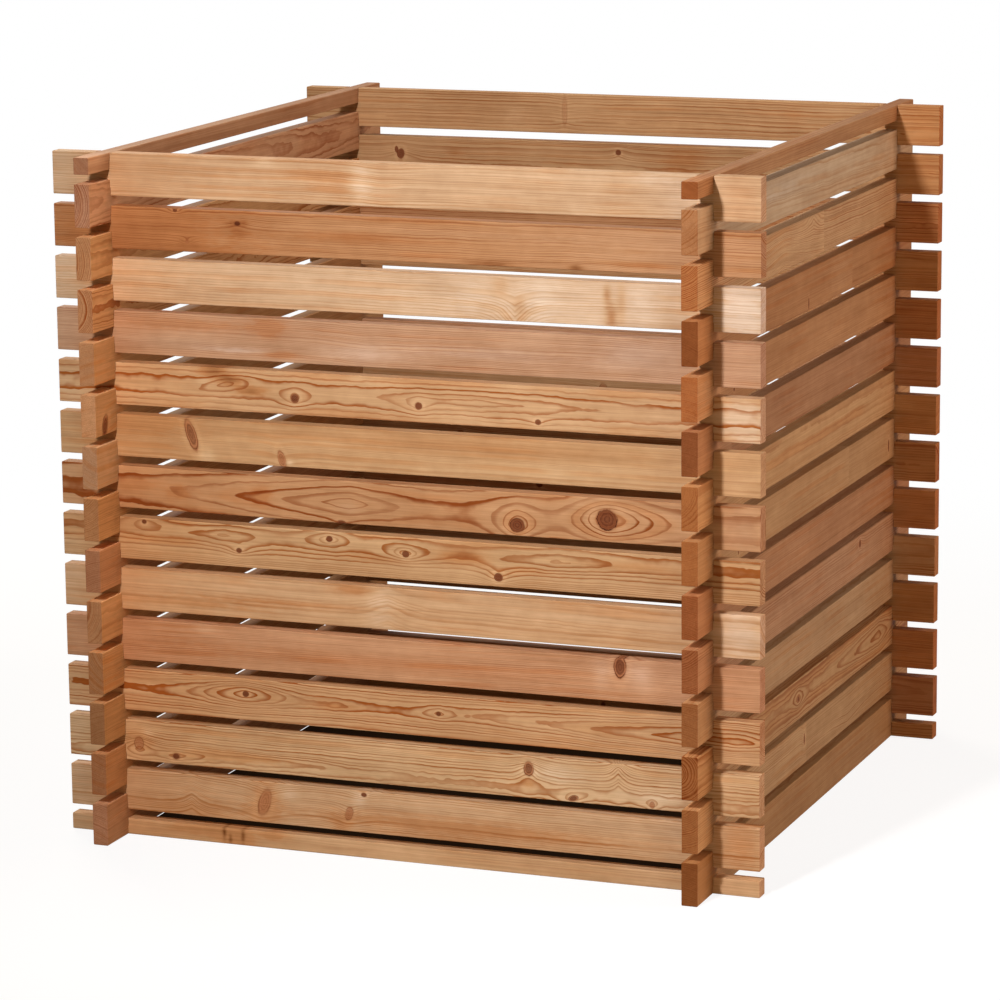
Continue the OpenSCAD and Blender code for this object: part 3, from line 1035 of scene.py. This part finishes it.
# The right boards are set darker than the front ones: partly their own tone, partly painted shade on this
# side, which the key lamp does not reach.
RIGHT_BOARDS = [
    plank("russet", 0.7, 0.0, crossing(30, -40, 2.1), ends=0.9),
    plank("honey", 0.64, 0.14, crossing(20, -50, 4.4), ends=0.8),
    plank(
        "honey", 0.81, -0.16, crossing(20, 75, 6.3, contrast=0.6, joint=-20), ends=0.9,
        marks=[knot(-30, 36, 3, 8, dark=0.7), swell(180, 10, 80, 30, -10)],
    ),
    plank(
        "honey", 0.74, 0.0, crossing(16, 34, 8.6, ring=3.4, contrast=1.0), ends=0.9,
        marks=[
            knot(-270, 28, 6, 6, -10, dark=0.6), knot(-60, 30, 6, 5, -10, dark=0.7),
            swell(340, 28, 60, 30, -14, 3.0),
        ],
    ),
    plank("pale", 0.68, 0.15, crossing(20, -50, 10.9, contrast=0.5), ends=0.9),
    plank(
        "rosy", 0.78, -0.08, crossing(30, 90, 12.2, contrast=0.6), ends=0.9,
        marks=[knot(240, 46, 5, 6, 6, dark=0.8)],
    ),
    plank("rosy", 0.74, 0.1, crossing(20, -50, 14.5), ends=0.9),
    plank(
        "pale", 0.7, 0.28, crossing(20, 100, 16.8, contrast=0.3, joint=180),
        marks=[knot(-330, 16, 3, 9, dark=0.9), knot(385, 22, 3, 9)],
    ),
    plank("honey", 0.83, -0.03, crossing(35, 55, 18.1, ring=4), ends=0.9),
    plank("rosy", 0.71, 0.08, crossing(20, -50, 20.4, contrast=0.3, joint=-360), ends=0.75),
    plank(
        "russet", 0.79, 0.0, crossing(20, -60, 22.7, contrast=0.3, joint=-405),
        marks=[knot(-350, 18, 3, 3, -3)],
        stains_and_painted_light=[(-460, 30, 50, 1000, 0.16, -0.4)],
    ),
    plank(
        "russet", 0.7, 0.12, crossing(30, -50, 24.3, contrast=0.3, joint=190), ends=0.68,
        marks=[knot(-20, 10, 2.5, 8, 0)],
        stains_and_painted_light=[(130, 30, 50, 30, 0.08, -0.3)],
    ),
    plank(
        "golden", 0.84, -0.12, crossing(30, 90, 26.6, contrast=0.8, joint=50),
        marks=[swell(-130, 0, 90, 40, 26), swell(0, 56, 40, 20, 12)],
    ),
    plank(
        "pale", 0.74, -0.16, crossing(40, 75, 28.9, ring=5, contrast=0.6, rise=-0.02), ends=0.97,
        stains_and_painted_light=[(-200, 40, 200, 12, 0.06, -0.5), (200, 12, 200, 10, -0.03, 0.5)],
    ),
]


# Left wall: the same laths. From the front only their sawn ends show, with
# rings curved round a trunk that lay outside, and their inner faces.
# Painted light on every left slat: its front end, which stands out past the front wall, is lighter and
# redder.
LEFT_FRONT_END_PAINTED_LIGHT = (485, 30, 50, 1000, 0.52, 0.5)
LEFT_BOARDS = [
    plank("rosy", 0.85, 0.0, crossing(50, 60, 3.2, ring=4, contrast=0.2)),
    plank("rosy", 0.96, 0.02, crossing(-30, -60, 1.4), ends=1.25),
    plank("russet", 0.96, 0.1, crossing(20, 90, 5.3)),
    plank("honey", 0.87, 0.2, crossing(30, -50, 7.2), ends=0.9),
    plank("honey", 0.99, 0.16, crossing(40, 70, 9.1), ends=0.9),
    plank("golden", 1.04, 0.18, crossing(-40, 50, 11.7, ring=4), ends=0.9),
    plank("rosy", 1.01, 0.12, crossing(30, -60, 13.3)),
    plank("honey", 0.99, 0.22, crossing(-30, 80, 15.8), ends=0.95),
    plank("pale", 0.92, 0.22, crossing(30, 80, 17.9, contrast=0.2)),
    plank(
        "honey", 0.97, 0.04, crossing(30, -80, 19.4, contrast=0.2), ends=1.28,
        marks=[knot(472, 12, 8, 16, 10, dark=0.7, turn=0.3)],
    ),
    plank("golden", 0.99, 0.15, crossing(30, -60, 21.6, contrast=0.15)),
    plank("golden", 1.05, 0.15, crossing(-35, 30, 23.5, ring=2.6, contrast=0.75, wander=12)),
    plank("honey", 1.04, 0.1, crossing(-55, 26, 25.2, ring=2.8, contrast=0.8, lean=0.01)),
    plank("rosy", 1.09, -0.1, crossing(-50, 32, 27.8, ring=2.8, contrast=0.9, lean=0.016)),
]


# Back wall: the same laths. Inside, only the top two show, over the front
# wall, and the rest in strips. Behind, all of them show.
BACK_TONES = "honey rosy russet honey pale russet golden honey rosy russet honey russet honey honey".split()
BACK_LIGHT = 0.92
BACK_KNOTS = {
    12: [knot(345, 32, 6, 8, -8), knot(352, 38, 3, 5, 0), knot(-6, 45, 4, 4, -6)],
    13: [knot(79, 34, 4, 22, 3, dark=0.25)],
}


def sawn(dice):
    """A lath cut flat, with loops, or on the rift or quarter, with straight lines."""
    kind = dice.choice(("flat", "rift", "quarter"))
    side = dice.choice((-1, 1))
    seed = dice.uniform(0, 50)
    middle = SLAT_WIDTH * MM / 2
    if kind == "flat":
        height = middle + dice.uniform(-14, 14)
        lean = side * dice.uniform(0.006, 0.02)
        return cut(dice.uniform(12, 40), height, dice.uniform(2.8, 4), 0.85, seed, lean)
    height = middle + side * dice.uniform(50, 110)
    depth = dice.uniform(30, 60) if kind == "rift" else dice.uniform(-10, 20)
    return cut(depth, height, dice.uniform(2, 3.2), 0.5, seed, 0.0, dice.uniform(-0.015, 0.015))


def chance_board(node, tone, marks):
    """A board whose lines, stains and further knots lie where chance put them, and whose right tail gets
    painted warm light.
    """
    dice = random.Random(node)
    low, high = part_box(node)
    width = (high.z - low.z) * MM
    marks = list(marks)
    for _ in range(0 if marks else dice.choice((0, 1, 1, 2, 3))):
        size = dice.uniform(3, 7)
        place = (dice.uniform(-380, 380), dice.uniform(0.15, 0.85) * width)
        marks.append(knot(*place, size, size * dice.uniform(0.7, 1.3), dark=dice.uniform(0.5, 1)))
    # The first stain is painted warm light: each back slat's right tail, past the right wall, is made redder
    # as if lit by light bounced off that wall.
    stains_and_painted_light = [(-480, 30, 50, 1000, 0.0, 0.9)]
    for _ in range(3):
        place = (dice.uniform(-450, 450), dice.uniform(0.1, 0.9) * width)
        size = (dice.uniform(10, 80), dice.uniform(5, 20))
        stains_and_painted_light.append((*place, *size, dice.uniform(-0.12, 0.12), dice.uniform(-0.3, 1.0)))
    light = BACK_LIGHT * dice.uniform(0.92, 1.08)
    return plank(tone, light, dice.uniform(-0.06, 0.08), sawn(dice), marks, stains_and_painted_light)


for row in range(ROWS + 1):
    make_slat("right", row, RIGHT_BOARDS[row], (RIGHT_FRONT_END_PAINTED_LIGHT, DARK_END))
    make_slat("left", row, LEFT_BOARDS[row], (LEFT_FRONT_END_PAINTED_LIGHT,))
    board = chance_board(slat_node("back", row), BACK_TONES[row], BACK_KNOTS.get(row, ()))
    make_slat("back", row, board)
